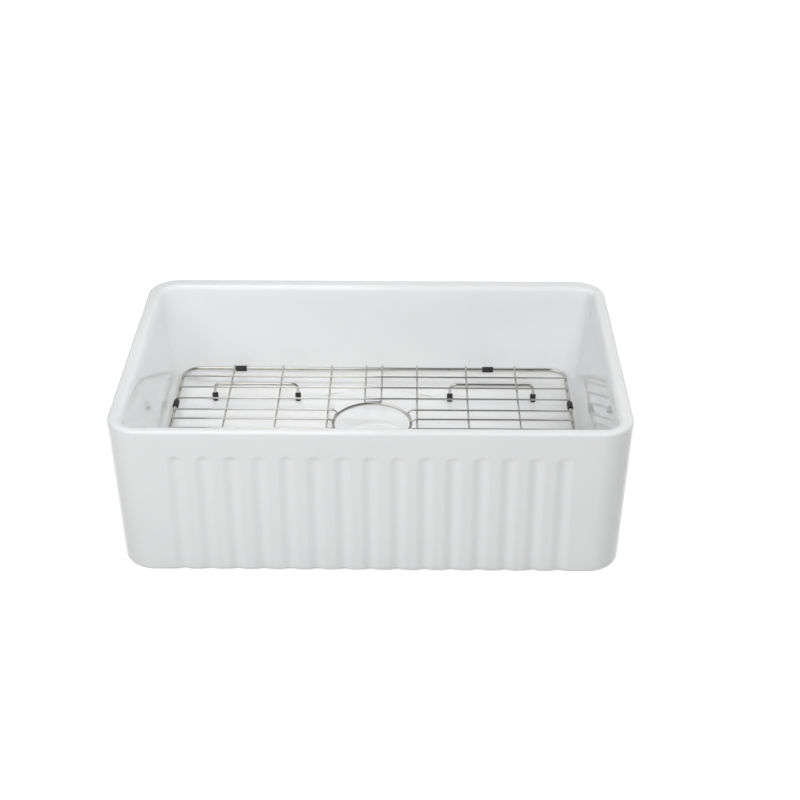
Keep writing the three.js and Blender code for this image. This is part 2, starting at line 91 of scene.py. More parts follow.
# Grid wires and rubber
FRAME_WIRE = 6 * MM
RING_WIRE = 5 * MM
LEG_WIRE = 5 * MM
ROD_WIRE = 3 * MM
FRAME_CORNER_RADIUS = 27 * MM
HAIRPIN_BEND = 5 * MM
LEG_BEND = 11 * MM
ROD_STEP_START = 4 * MM
ROD_STEP_END = 12 * MM
ROD_STEP_BEND = 7 * MM
RING_ROW_DROP = 8 * MM
TAB_LENGTH = 27 * MM
TAB_BEND = 4 * MM
WIRE_END_ROUND = 0.5 * MM
CAP_EDGE_RADIUS = 1.6 * MM
CAP_BORE_DEPTH = 10 * MM
BUMPER_SLOT = math.radians(40)
BUMPER_EDGE = 0.5 * MM
RUBBER_CLEARANCE = 0.1 * MM

# Fineness of the meshes
CORNER_STEPS = 18
EDGE_STEPS = 9
FILLET_STEPS = 16
FLAT_STEPS = 8
END_STEPS = 4
SMALL_EDGE_STEPS = 4
SKIRT_STEPS = 4
LOWER_APRON_STEPS = 14
FLUTE_TOP_STEPS = 16
UPPER_APRON_STEPS = 4
FLUTE_TOP_MARGIN = 2 * MM
WALL_STEPS = 10
DISH_EDGE_STEPS = 6
DISH_STEPS = 10
FLANGE_STEPS = 12
SIDE_STEPS = 28
BACK_STEPS = 40
WIRE_SIDES = 16
BEND_STEPS = 8
RING_STEPS = 96
LATHE_SIDES = 32

# ---------------------------------------------------------------- places from the frame
BASIN_LOW, BASIN_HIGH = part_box("basin")
HALF_WIDTH = (BASIN_HIGH.x - BASIN_LOW.x) / 2
FRONT_Y = BASIN_LOW.y
BACK_Y = BASIN_HIGH.y
HEIGHT = BASIN_HIGH.z
FLOOR_Z = HEIGHT - BOWL_DEPTH
RECESS_Z = FLOOR_Z - FLOOR_THICKNESS
OUTER_FLUTE_X = HALF_WIDTH - OUTER_CORNER_RADIUS - FLUTE_MARGIN
FLUTE_PITCH = 2 * OUTER_FLUTE_X / (FLUTE_COUNT - 1)
FLUTE_FIELD = OUTER_FLUTE_X + FLUTE_PITCH / 2
FLUTE_END_Z = HEIGHT - FLUTE_TOP_BELOW_RIM - FLUTE_END_REACH


# ---------------------------------------------------------------- mesh helpers
def make_mesh(name, points, faces):
    mesh = bpy.data.meshes.new(name)
    mesh.from_pydata([tuple(p) for p in points], [], faces)
    mesh.polygons.foreach_set("use_smooth", [True] * len(mesh.polygons))
    mesh.update()
    obj = bpy.data.objects.new(name, mesh)
    bpy.context.scene.collection.objects.link(obj)
    return obj


def strip_faces(first, second, count):
    """Quads between two loops of count points that start at those indices."""
    faces = []
    for k in range(count):
        after = (k + 1) % count
        faces.append((first + k, first + after, second + after, second + k))
    return faces


def quarter_round(radius, steps, sweep=math.pi / 2):
    """(run, rise) along a round edge: run falls from the radius to 0 while rise grows."""
    pairs = []
    for step in range(steps + 1):
        angle = sweep * step / steps
        pairs.append((radius * (1 - math.sin(angle)), radius * (1 - math.cos(angle))))
    return pairs


def soft_positive(value, softness):
    """The value where it is positive and nothing where it is negative, with a round turn."""
    if value >= softness:
        return value
    if value <= -softness:
        return 0.0
    return (value + softness) ** 2 / (4 * softness)


# ---------------------------------------------------------------- basin outlines
def flute_depth(x, z):
    """How far the apron's surface lies behind its face at a place."""
    k = round((x + OUTER_FLUTE_X) / FLUTE_PITCH)
    centre = min(max(k, 0), FLUTE_COUNT - 1) * FLUTE_PITCH - OUTER_FLUTE_X
    up = max(z - FLUTE_END_Z, 0.0)
    share = math.hypot((x - centre) / FLUTE_REACH, up / FLUTE_END_REACH)
    return FLUTE_DEPTH * (1 + math.cos(math.pi * min(share, 1.0))) / 2


def flute_columns():
    """Places across the apron, close together in the flutes."""
    stations = [s * MM for s in (1.5, 3, 4.5, 6, 7.5, 9, 10.5, 12, 13.2, 14.4, 17)]
    xs = [-FLUTE_FIELD]
    for k in range(FLUTE_COUNT):
        centre = k * FLUTE_PITCH - OUTER_FLUTE_X
        xs.extend(centre - s for s in reversed(stations))
        xs.append(centre)
        xs.extend(centre + s for s in stations)
        xs.append(centre + FLUTE_PITCH / 2)
    return xs


COLUMNS = flute_columns()


def front_places(straight, in_line):
    """Places along the straight stretch of a front edge, kept in line with the flutes or not."""
    if not in_line:
        full = HALF_WIDTH - OUTER_CORNER_RADIUS
        return [x * straight / full for x in front_places(full, True)]
    step = (straight - FLUTE_FIELD) / END_STEPS
    ends = [FLUTE_FIELD + step * k for k in range(1, END_STEPS + 1)]
    return [-x for x in reversed(ends)] + COLUMNS + ends


def outline(half, front, back, radius, in_line=False):
    """A rounded rectangle, counter-clockwise from above, from the left end of its front."""
    points = [(x, front) for x in front_places(half - radius, in_line)]
    width = 2 * (half - radius)
    depth = back - front - 2 * radius

    def add_corner(x, y, start):
        for k in range(1, CORNER_STEPS):
            angle = start + math.pi / 2 * k / CORNER_STEPS
            points.append((x + radius * math.cos(angle), y + radius * math.sin(angle)))

    add_corner(half - radius, front + radius, -math.pi / 2)
    points.extend((half, front + radius + depth * k / SIDE_STEPS) for k in range(SIDE_STEPS + 1))
    add_corner(half - radius, back - radius, 0)
    points.extend((half - radius - width * k / BACK_STEPS, back) for k in range(BACK_STEPS + 1))
    add_corner(radius - half, back - radius, math.pi / 2)
    points.extend((-half, back - radius - depth * k / SIDE_STEPS) for k in range(SIDE_STEPS + 1))
    add_corner(radius - half, front + radius, math.pi)
    return points


def outer_draft(z):
    return max(0.0, 1 - z / (HEIGHT - RIM_OUTER_RADIUS))


def outer_loop(z, inset):
    low = outer_draft(z)
    half = HALF_WIDTH - SIDE_DRAFT * low - inset
    front = FRONT_Y + inset
    back = BACK_Y - BACK_DRAFT * low - inset
    fade = 1 - FLUTE_FADE_AT_FOOT * inset / FOOT_EDGE_RADIUS
    loop = []
    for x, y in outline(half, front, back, OUTER_CORNER_RADIUS - inset, in_line=True):
        if y == front and abs(x) <= FLUTE_FIELD:
            y += flute_depth(x, z) * fade
        loop.append((x, y, z))
    return loop


def recess_loop(z, inset):
    """Wall of the hollow under the floor."""
    low = outer_draft(z)
    taper = RECESS_TAPER * max(z, 0.0) / RECESS_Z
    half = HALF_WIDTH - SIDE_DRAFT * low - SKIRT - taper - inset
    front = FRONT_Y + SKIRT + taper + inset
    back = BACK_Y - BACK_DRAFT * low - SKIRT - taper - inset
    radius = OUTER_CORNER_RADIUS - SKIRT - inset
    return [(x, y, z) for x, y in outline(half, front, back, radius)]


def slope_run(slope, z):
    return (HEIGHT - z) * math.tan(slope)


def bowl_loop(z, inset):
    share = (HEIGHT - z) / BOWL_DEPTH
    radius = INNER_CORNER_TOP + (INNER_CORNER_BOTTOM - INNER_CORNER_TOP) * share - inset
    half = HALF_WIDTH - SIDE_RIM - slope_run(SIDE_WALL_SLOPE, z) - inset
    front = FRONT_Y + FRONT_RIM + slope_run(FRONT_WALL_SLOPE, z) + inset
    back = BACK_Y - BACK_RIM - slope_run(BACK_WALL_SLOPE, z) - inset
    return [(x, y, z) for x, y in outline(half, front, back, radius)]


def dish_height(x, y):
    """Height of the floor: flat, then a shallow cone that falls to the flange seat."""
    from_edge = DISH_RADIUS - math.hypot(x - DRAIN_X, y - DRAIN_Y)
    fall = DISH_DEPTH / (DISH_RADIUS - FLANGE_SEAT / 2)
    return FLOOR_Z - fall * soft_positive(from_edge, DISH_BLEND)


def drain_loop(pattern, radius, z):
    """A circle round the drain whose points lie in line with those of another loop."""
    loop = []
    for x, y, _ in pattern:
        reach = math.hypot(x - DRAIN_X, y - DRAIN_Y) / radius
        loop.append((DRAIN_X + (x - DRAIN_X) / reach, DRAIN_Y + (y - DRAIN_Y) / reach, z))
    return loop


def between(first, second, share):
    return [tuple(a + (b - a) * share for a, b in zip(p, q)) for p, q in zip(first, second)]


def spread(start, end, steps):
    """Even steps after start, up to and with end."""
    return [start + (end - start) * k / steps for k in range(1, steps + 1)]


def apron_levels():
    """Heights of the outer wall's loops, close together at the round tops of the flutes."""
    start = FLUTE_END_Z - FLUTE_TOP_MARGIN
    end = HEIGHT - FLUTE_TOP_BELOW_RIM + FLUTE_TOP_MARGIN
    levels = spread(FOOT_EDGE_RADIUS, start, LOWER_APRON_STEPS)
    levels += spread(start, end, FLUTE_TOP_STEPS)
    return levels + spread(end, HEIGHT - RIM_OUTER_RADIUS, UPPER_APRON_STEPS)[:-1]


def underside_loops():
    """From the outlet's lower edge over the ceiling and down the skirt to its foot."""
    ceiling = recess_loop(RECESS_Z, RECESS_FILLET)
    mouth = drain_loop(ceiling, OUTLET_BORE / 2 + OUTLET_LOWER_EDGE, RECESS_Z)
    loops = [between(mouth, ceiling, k / FLAT_STEPS) for k in range(FLAT_STEPS)]
    for run, rise in quarter_round(RECESS_FILLET, EDGE_STEPS):
        loops.append(recess_loop(RECESS_Z - rise, run))
    for z in spread(RECESS_Z - RECESS_FILLET, SKIRT_INNER_EDGE, SKIRT_STEPS)[:-1]:
        loops.append(recess_loop(z, 0))
    for run, rise in reversed(quarter_round(SKIRT_INNER_EDGE, SMALL_EDGE_STEPS)):
        loops.append(recess_loop(rise, -run))
    return loops


def outside_loops():
    """Foot edge, outer walls and rounded rim edge."""
    loops = [outer_loop(rise, run) for run, rise in quarter_round(FOOT_EDGE_RADIUS, EDGE_STEPS)]
    loops.extend(outer_loop(z, 0) for z in apron_levels())
    for run, rise in reversed(quarter_round(RIM_OUTER_RADIUS, EDGE_STEPS)):
        loops.append(outer_loop(HEIGHT - rise, run))
    return loops


def inside_loops():
    """Rim's inner edge, inner walls and the fillet down to the floor."""
    edge = quarter_round(RIM_INNER_RADIUS, EDGE_STEPS, math.pi / 2 - SIDE_WALL_SLOPE)
    loops = [bowl_loop(HEIGHT - rise, -run) for run, rise in edge]
    fillet_top = FLOOR_Z + FLOOR_FILLET * (1 - math.sin(SIDE_WALL_SLOPE))
    walls = spread(HEIGHT - edge[-1][1], fillet_top, WALL_STEPS)[:-1]
    loops.extend(bowl_loop(z, 0) for z in walls)
    wall_end = slope_run(SIDE_WALL_SLOPE, FLOOR_Z + FLOOR_FILLET)
    for step in range(FILLET_STEPS + 1):
        angle = SIDE_WALL_SLOPE + (math.pi / 2 - SIDE_WALL_SLOPE) * step / FILLET_STEPS
        z = FLOOR_Z + FLOOR_FILLET * (1 - math.sin(angle))
        lean = slope_run(SIDE_WALL_SLOPE, z) - wall_end
        inset = FLOOR_FILLET / math.cos(SIDE_WALL_SLOPE) - FLOOR_FILLET * math.cos(angle) - lean
        loops.append(bowl_loop(z, max(inset, 0.0)))
    return loops


def drain_loops(floor_edge):
    """Floor, dish, flange seat, lip and bore, down to the outlet's lower edge."""
    seat = FLANGE_SEAT / 2
    seat_z = FLOOR_Z - DISH_DEPTH - FLANGE_SEAT_DEPTH
    step_end = seat + FLANGE_SEAT_DEPTH + 2 * FLANGE_EDGE_SOFTNESS
    dish_edge = drain_loop(floor_edge, DISH_RADIUS, FLOOR_Z)
    flat = [between(floor_edge, dish_edge, k / FLAT_STEPS) for k in range(1, FLAT_STEPS)]
    radii = spread(DISH_RADIUS + DISH_BLEND, DISH_RADIUS - DISH_BLEND, DISH_EDGE_STEPS)
    radii += spread(DISH_RADIUS - DISH_BLEND, step_end, DISH_STEPS)
    flat.extend(drain_loop(floor_edge, radius, FLOOR_Z) for radius in radii)
    loops = [[(x, y, dish_height(x, y)) for x, y, _ in loop] for loop in flat]
    for radius in spread(step_end, seat - 2 * FLANGE_EDGE_SOFTNESS, FLANGE_STEPS):
        height = soft_positive(radius - seat, FLANGE_EDGE_SOFTNESS)
        height -= soft_positive(radius - seat - FLANGE_SEAT_DEPTH, FLANGE_EDGE_SOFTNESS)
        loops.append(drain_loop(floor_edge, radius, seat_z + height))
    bore = OUTLET_BORE / 2
    for run, rise in quarter_round(OUTLET_LIP_RADIUS, EDGE_STEPS):
        loops.append(drain_loop(floor_edge, bore + run, seat_z - rise))
    loops.append(drain_loop(floor_edge, bore, RECESS_Z + OUTLET_LOWER_EDGE))
    return loops


def make_basin():
    loops = underside_loops() + outside_loops() + inside_loops()
    loops += drain_loops(loops[-1])
    count = len(loops[0])
    faces = []
    for k in range(len(loops)):
        faces.extend(strip_faces(k * count, (k + 1) % len(loops) * count, count))
    obj = make_mesh("glazed_basin", [p for loop in loops for p in loop], faces)
    obj.data.materials.append(glaze_material())
    return obj


# ---------------------------------------------------------------- grid places
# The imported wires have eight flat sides, so their boxes are a little smaller than round ones
FACET = math.cos(math.pi / 8)


def centre_box(node, wire):
    """Box of the middle line of a wire that runs through or along a node's box."""
    low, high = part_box(node)
    inset = wire / 2 * FACET
    return low + Vector((inset, inset, inset)), high - Vector((inset, inset, inset))


FRAME_LOW, FRAME_HIGH = centre_box("grid_frame", FRAME_WIRE)
RING_LOW, RING_HIGH = centre_box("grid_drain_ring", RING_WIRE)
LONG_ROD_LOW, LONG_ROD_HIGH = centre_box("long_rod_1", ROD_WIRE)
GRID_X = (FRAME_LOW.x + FRAME_HIGH.x) / 2
HALF_GRID = (FRAME_HIGH.x - FRAME_LOW.x) / 2
FRAME_Z = (FRAME_LOW.z + FRAME_HIGH.z) / 2
RING_Y = (RING_LOW.y + RING_HIGH.y) / 2
RING_Z = (RING_LOW.z + RING_HIGH.z) / 2
RING_RADIUS = (RING_HIGH.x - RING_LOW.x) / 2
LONG_ROD_Z = LONG_ROD_LOW.z
ROW_Z = LONG_ROD_HIGH.z
ROD_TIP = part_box("long_rod_1")[1].y - FRAME_HIGH.y
RING_ROW_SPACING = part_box("ring_rod_left_back")[1].y - ROD_WIRE / 2 * FACET - RING_Y
UP = Vector((0, 0, 1))
ALONG_Y = Vector((0, 1, 0))


# ---------------------------------------------------------------- wires
def bent(points, radius):
    """The points of a path whose corners are turned into curves that start at that radius."""
    path = [points[0]]
    for before, corner, after in zip(points, points[1:], points[2:]):
        into = (before - corner).normalized()
        out = (after - corner).normalized()
        trim = radius * math.tan((math.pi - into.angle(out)) / 2)
        start = corner + into * trim
        end = corner + out * trim
        for k in range(BEND_STEPS + 1):
            t = k / BEND_STEPS
            path.append(start * (1 - t) ** 2 + corner * (2 * t * (1 - t)) + end * t ** 2)
    path.append(points[-1])
    return path


def make_wire(name, points, diameter, up, closed=False):
    """Round wire along a path, with slightly rounded ends."""
    count = len(points)
    rings = []
    for k, here in enumerate(points):
        before = points[k - 1] if closed or k else here
        after = points[(k + 1) % count] if closed or k + 1 < count else here
        inward = (here - before).normalized()
        outward = (after - here).normalized()
        tangent = (inward + outward).normalized()
        rings.append((here, tangent, diameter / 2))
    if not closed:
        first, along, radius = rings[0]
        small = radius - WIRE_END_ROUND
        rings[0:1] = [(first, along, small), (first + along * WIRE_END_ROUND, along, radius)]
        last, along, radius = rings[-1]
        rings[-1:] = [(last - along * WIRE_END_ROUND, along, radius), (last, along, small)]
    verts = []
    for here, tangent, radius in rings:
        side = up.cross(tangent).normalized()
        rise = tangent.cross(side)
        for s in range(WIRE_SIDES):
            angle = 2 * math.pi * s / WIRE_SIDES
            verts.append(here + (side * math.cos(angle) + rise * math.sin(angle)) * radius)
    faces = []
    spans = len(rings) if closed else len(rings) - 1
    for k in range(spans):
        faces.extend(strip_faces(k * WIRE_SIDES, (k + 1) % len(rings) * WIRE_SIDES, WIRE_SIDES))
    if not closed:
        last = (len(rings) - 1) * WIRE_SIDES
        faces.append(tuple(reversed(range(WIRE_SIDES))))
        faces.append(tuple(range(last, last + WIRE_SIDES)))
    obj = make_mesh(name, verts, faces)
    obj.data.materials.append(STEEL)
    return obj


def rounded_path(low, high, radius, z):
    points = []
    corners = [(high.x, low.y, -90), (high.x, high.y, 0), (low.x, high.y, 90), (low.x, low.y, 180)]
    for corner_x, corner_y, start in corners:
        centre_x = corner_x - math.copysign(radius, corner_x - GRID_X)
        centre_y = corner_y - math.copysign(radius, corner_y - RING_Y)
        for k in range(CORNER_STEPS + 1):
            angle = math.radians(start + 90 * k / CORNER_STEPS)
            x = centre_x + radius * math.cos(angle)
            y = centre_y + radius * math.sin(angle)
            points.append(Vector((x, y, z)))
    return points


def ring_point(angle, z):
    return Vector((GRID_X + RING_RADIUS * math.cos(angle), RING_Y + RING_RADIUS * math.sin(angle), z))


def frame_path():
    return rounded_path(FRAME_LOW, FRAME_HIGH, FRAME_CORNER_RADIUS, FRAME_Z)


def ring_path():
    return [ring_point(2 * math.pi * k / RING_STEPS, RING_Z) for k in range(RING_STEPS)]


def rod_end(x, side):
    """End of a front-to-back rod: from its tip on the frame to its step down under the rows."""
    frame_y = FRAME_HIGH.y if side > 0 else FRAME_LOW.y
    places = [(ROD_TIP, ROW_Z), (-ROD_STEP_START, ROW_Z), (-ROD_STEP_END, LONG_ROD_Z)]
    return [Vector((x, frame_y + side * run, z)) for run, z in places]


def long_rod_path(node):
    low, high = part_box(node)
    x = (low.x + high.x) / 2
    return bent(rod_end(x, -1) + list(reversed(rod_end(x, 1))), ROD_STEP_BEND)


def hairpin_path(node):
    low, high = centre_box(node, ROD_WIRE)
    side = 1 if high.y > RING_HIGH.y + FRAME_WIRE else -1
    base = low.y if side > 0 else high.y
    corners = rod_end(low.x, side)
    corners += [Vector((low.x, base, LONG_ROD_Z)), Vector((high.x, base, LONG_ROD_Z))]
    return bent(corners + list(reversed(rod_end(high.x, side))), HAIRPIN_BEND)


def row_path(node):
    low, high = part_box(node)
    y = (low.y + high.y) / 2
    return [Vector((low.x, y, ROW_Z)), Vector((high.x, y, ROW_Z))]


def cut_row_path(side, row):
    """Row that stops at the drain ring: the middle one on it, the others with a tab along it."""
    y = RING_Y + row * RING_ROW_SPACING
    reach = math.sqrt(RING_RADIUS ** 2 - (y - RING_Y) ** 2)
    places = [(HALF_GRID + ROD_TIP, ROW_Z), (reach + RING_ROW_DROP, ROW_Z)]
    if row == 0:
        places += [(reach + ROD_WIRE / 2, LONG_ROD_Z), (reach - RING_WIRE / 2, LONG_ROD_Z)]
        return bent([Vector((GRID_X + side * x, y, z)) for x, z in places], ROD_WIRE)
    places.append((reach + TAB_BEND, LONG_ROD_Z))
    path = bent([Vector((GRID_X + side * x, y, z)) for x, z in places], ROD_WIRE)
    start = math.asin((y - RING_Y) / RING_RADIUS)
    for k in range(BEND_STEPS + 1):
        angle = start - (TAB_BEND + (TAB_LENGTH - TAB_BEND) * k / BEND_STEPS) / RING_RADIUS
        path.append(ring_point(angle if side > 0 else math.pi - angle, LONG_ROD_Z))
    return path


def leg_path(node):
    low, high = centre_box(node, LEG_WIRE)
    foot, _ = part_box(node)
    y = (low.y + high.y) / 2
    corners = [(low.x, foot.z), (low.x, high.z), (high.x, high.z), (high.x, foot.z)]
    return bent([Vector((x, y, z)) for x, z in corners], LEG_BEND)


# ---------------------------------------------------------------- rubber
def make_cap(name, node):
    """Round cap with a blind bore, standing on its closed end."""
    low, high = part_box(node)
    middle = (low + high) / 2
    outer = (high.x - low.x) / 2
    bore = LEG_WIRE / 2 + RUBBER_CLEARANCE
    floor = high.z - CAP_BORE_DEPTH
    profile = [(outer - run, low.z + rise) for run, rise in quarter_round(CAP_EDGE_RADIUS, EDGE_STEPS)]
    top_round = list(reversed(quarter_round(CAP_EDGE_RADIUS / 2, EDGE_STEPS)))
    profile += [(outer - run, high.z - rise) for run, rise in top_round]
    profile += [(bore, high.z), (bore, floor)]
    verts = []
    for radius, z in profile:
        for s in range(LATHE_SIDES):
            angle = 2 * math.pi * s / LATHE_SIDES
            verts.append((middle.x + radius * math.cos(angle), middle.y + radius * math.sin(angle), z))
    faces = [tuple(reversed(range(LATHE_SIDES)))]
    for k in range(len(profile) - 1):
        faces.extend(strip_faces(k * LATHE_SIDES, (k + 1) * LATHE_SIDES, LATHE_SIDES))
    last = (len(profile) - 1) * LATHE_SIDES
    faces.append(tuple(range(last, last + LATHE_SIDES)))
    obj = make_mesh(name, verts, faces)
    obj.data.materials.append(RUBBER)
    return obj


def make_bumper(name, node):
    """Slit sleeve on the frame wire, with its slit facing down and rounded ends."""
    low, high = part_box(node)
    middle = (low + high) / 2
    along_x = high.x - low.x > high.y - low.y
    half = max(high.x - low.x, high.y - low.y) / 2
    outer = high.z - FRAME_Z
    inner = FRAME_WIRE / 2 + RUBBER_CLEARANCE
    start = -math.pi / 2 + BUMPER_SLOT / 2
    sweep = 2 * math.pi - BUMPER_SLOT
    ends = [(run, -half + rise) for run, rise in quarter_round(BUMPER_EDGE, SMALL_EDGE_STEPS)]
    ends += [(run, -place) for run, place in reversed(ends)]
    verts = []
    for run, place in ends:
        arc = [(outer - run, start + sweep * s / LATHE_SIDES) for s in range(LATHE_SIDES + 1)]
        arc += [(inner, start + sweep * s / LATHE_SIDES) for s in reversed(range(LATHE_SIDES + 1))]
        for radius, angle in arc:
            across = radius * math.cos(angle)
            x, y = (place, -across) if along_x else (across, place)
            verts.append((middle.x + x, middle.y + y, FRAME_Z + radius * math.sin(angle)))
    count = 2 * (LATHE_SIDES + 1)
    faces = []
    for k in range(len(ends) - 1):
        faces.extend(tuple(reversed(face)) for face in strip_faces(k * count, (k + 1) * count, count))
    for base, flip in ((0, False), ((len(ends) - 1) * count, True)):
        for s in range(LATHE_SIDES):
            face = (base + s, base + s + 1, base + count - 2 - s, base + count - 1 - s)
            faces.append(tuple(reversed(face)) if flip else face)
    obj = make_mesh(name, verts, faces)
    obj.data.materials.append(RUBBER)
    return obj


# ---------------------------------------------------------------- materials
# Pairs are the ends between which a noise moves the colour or the roughness
GLAZE_COLOURS = ((0.896, 0.901, 0.909), (0.910, 0.915, 0.922))
GLAZE_ROUGHNESS = (0.008, 0.02)
GLAZE_IOR = 1.52
GLAZE_WAVE_HEIGHT = 0.15 * MM
GLAZE_PEEL_HEIGHT = 0.003 * MM
BISQUE_COLOURS = ((0.50, 0.46, 0.40), (0.66, 0.62, 0.55))
BISQUE_ROUGHNESS = 0.8
GLAZE_START = (0.2 * MM, 1.2 * MM)
STEEL_COLOURS = ((0.52, 0.51, 0.485), (0.60, 0.59, 0.565))
STEEL_ROUGHNESS = (0.08, 0.16)
STEEL_DRAW_HEIGHT = 0.02 * MM
RUBBER_COLOURS = ((0.010, 0.010, 0.010), (0.022, 0.021, 0.020))
RUBBER_ROUGHNESS = (0.42, 0.60)
RUBBER_GRAIN_HEIGHT = 0.03 * MM


def new_material(name):
    material = bpy.data.materials.new(name)
    material.use_nodes = True
    return material, material.node_tree, material.node_tree.nodes["Principled BSDF"]


def add_noise(tree, scale, detail=3.0):
    """Noise over the object's own coordinates, in features per metre."""
    place = tree.nodes.new("ShaderNodeTexCoord")
    noise = tree.nodes.new("ShaderNodeTexNoise")
    noise.inputs["Scale"].default_value = scale
    noise.inputs["Detail"].default_value = detail
    tree.links.new(place.outputs["Object"], noise.inputs["Vector"])
    return noise.outputs["Fac"]


def add_range(tree, value, low, high, start=0.0, end=1.0):
    node = tree.nodes.new("ShaderNodeMapRange")
    node.inputs["From Min"].default_value = start
    node.inputs["From Max"].default_value = end
    node.inputs["To Min"].default_value = low
    node.inputs["To Max"].default_value = high
    tree.links.new(value, node.inputs["Value"])
    return node.outputs["Result"]


def add_mix(tree, share, first, second):
    """Colour mix; first and second are colours or sockets."""
    node = tree.nodes.new("ShaderNodeMix")
    node.data_type = "RGBA"
    tree.links.new(share, node.inputs["Factor"])
    for socket, value in ((node.inputs[6], first), (node.inputs[7], second)):
        if isinstance(value, tuple):
            socket.default_value = (*value, 1)
        else:
            tree.links.new(value, socket)
    return node.outputs[2]


def add_bump(tree, height, distance, strength=1.0, before=None):
    node = tree.nodes.new("ShaderNodeBump")
    node.inputs["Distance"].default_value = distance
    node.inputs["Strength"].default_value = strength
    tree.links.new(height, node.inputs["Height"])
    if before is not None:
        tree.links.new(before, node.inputs["Normal"])
    return node.outputs["Normal"]


def glaze_material():
    """White glaze over fireclay, with soft waves and a bare ground foot."""
    material, tree, shader = new_material("white_glaze")
    cloud = add_range(tree, add_noise(tree, 9), 0, 1, 0.3, 0.7)
    white = add_mix(tree, cloud, *GLAZE_COLOURS)
    place = tree.nodes.new("ShaderNodeTexCoord")
    split = tree.nodes.new("ShaderNodeSeparateXYZ")
    tree.links.new(place.outputs["Object"], split.inputs[0])
    glazed = add_range(tree, split.outputs["Z"], 0, 1, *GLAZE_START)
    grit = add_noise(tree, 900, 4)
    bisque = add_mix(tree, grit, *BISQUE_COLOURS)
    tree.links.new(add_mix(tree, glazed, bisque, white), shader.inputs["Base Color"])
    gloss = add_range(tree, add_noise(tree, 30), *GLAZE_ROUGHNESS)
    rough = tree.nodes.new("ShaderNodeMix")
    rough.inputs["A"].default_value = BISQUE_ROUGHNESS
    tree.links.new(glazed, rough.inputs["Factor"])
    tree.links.new(gloss, rough.inputs["B"])
    tree.links.new(rough.outputs["Result"], shader.inputs["Roughness"])
    waves = add_bump(tree, add_noise(tree, 8, 1), GLAZE_WAVE_HEIGHT)
    peel = add_bump(tree, add_noise(tree, 180, 1), GLAZE_PEEL_HEIGHT, before=waves)
    tree.links.new(peel, shader.inputs["Normal"])
    shader.inputs["IOR"].default_value = GLAZE_IOR
    return material


def steel_material():
    """Drawn stainless wire after electropolishing."""
    material, tree, shader = new_material("polished_steel")
    tint = add_mix(tree, add_noise(tree, 40), *STEEL_COLOURS)
    tree.links.new(tint, shader.inputs["Base Color"])
    gloss = add_range(tree, add_noise(tree, 120), *STEEL_ROUGHNESS)
    tree.links.new(gloss, shader.inputs["Roughness"])
    lines = add_bump(tree, add_noise(tree, 700, 2), STEEL_DRAW_HEIGHT)
    tree.links.new(lines, shader.inputs["Normal"])
    shader.inputs["Metallic"].default_value = 1.0
    return material


def rubber_material():
    """Black moulded rubber with a fine grain."""
    material, tree, shader = new_material("black_rubber")
    tint = add_mix(tree, add_noise(tree, 200), *RUBBER_COLOURS)
    tree.links.new(tint, shader.inputs["Base Color"])
    gloss = add_range(tree, add_noise(tree, 300), *RUBBER_ROUGHNESS)
    tree.links.new(gloss, shader.inputs["Roughness"])
    grain = add_bump(tree, add_noise(tree, 1500, 2), RUBBER_GRAIN_HEIGHT)
    tree.links.new(grain, shader.inputs["Normal"])
    return material


# ---------------------------------------------------------------- pieces
STEEL = steel_material()
RUBBER = rubber_material()


def place_piece(obj, body, node):
    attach(obj, body)
    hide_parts(node)


def add_wire(node, points, diameter, up, closed=False):
    obj = make_wire(node + "_wire", points, diameter, up, closed)
    place_piece(obj, "grid", node)


place_piece(make_basin(), "sink", "basin")
add_wire("grid_frame", frame_path(), FRAME_WIRE, UP, closed=True)
add_wire("grid_drain_ring", ring_path(), RING_WIRE, UP, closed=True)
for node in sorted(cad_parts):
    if node.startswith("long_rod"):
        add_wire(node, long_rod_path(node), ROD_WIRE, UP)
    if node.startswith("hairpin_rod"):
        add_wire(node, hairpin_path(node), ROD_WIRE, UP)
    if node.startswith("cross_rod"):
        add_wire(node, row_path(node), ROD_WIRE, ALONG_Y)
    if node.startswith("leg_"):
        add_wire(node, leg_path(node), LEG_WIRE, ALONG_Y)
    if node.startswith("foot_cap"):
        place_piece(make_cap(node + "_rubber", node), "grid", node)
    if node.startswith("bumper"):
        place_piece(make_bumper(node + "_rubber", node), "grid", node)
for side, side_name in ((-1, "left"), (1, "right")):
    for row, row_name in ((-1, "front"), (0, "middle"), (1, "back")):
        path = cut_row_path(side, row)
        add_wire(f"ring_rod_{side_name}_{row_name}", path, ROD_WIRE, ALONG_Y if row == 0 else UP)


# ---------------------------------------------------------------- studio
# Metres; light is the strength of the glow, where 1 is white
WORLD_LIGHT = 0.08
FLOOR_HALF = 8
FLOOR_PAINT = 0.5
FLOOR_PAINT_SEEN = 0.12
FLOOR_GLOW = (0.925, 1.0)
FLOOR_GLOW_REACH = (0.45, 1.1)
# Glowing panels seen only in shiny pieces: painted dark reflections (flags) and a painted bright
# reflection (sheet)
STUDIO_HALF = 3.0
CEILING_Z = 2.4
FLAG_EDGE_X = -0.06
FLAG_LOW_Z = 0.6
FLAG_LIGHT = 0.22
SHEET_X = (-2.2, -0.1)
SHEET_Y = (-1.6, 1.8)
SHEET_LIGHT = 1.8


def add_seen_directly(tree):
    """1 for camera, glossy and transmission rays, 0 for the rays that carry light around."""
    paths = tree.nodes.new("ShaderNodeLightPath")
    value = paths.outputs["Is Camera Ray"]
    for name in ("Is Glossy Ray", "Is Transmission Ray"):
        either = tree.nodes.new("ShaderNodeMath")
        either.operation = "MAXIMUM"
        tree.links.new(value, either.inputs[0])
        tree.links.new(paths.outputs[name], either.inputs[1])
        value = either.outputs[0]
    return value


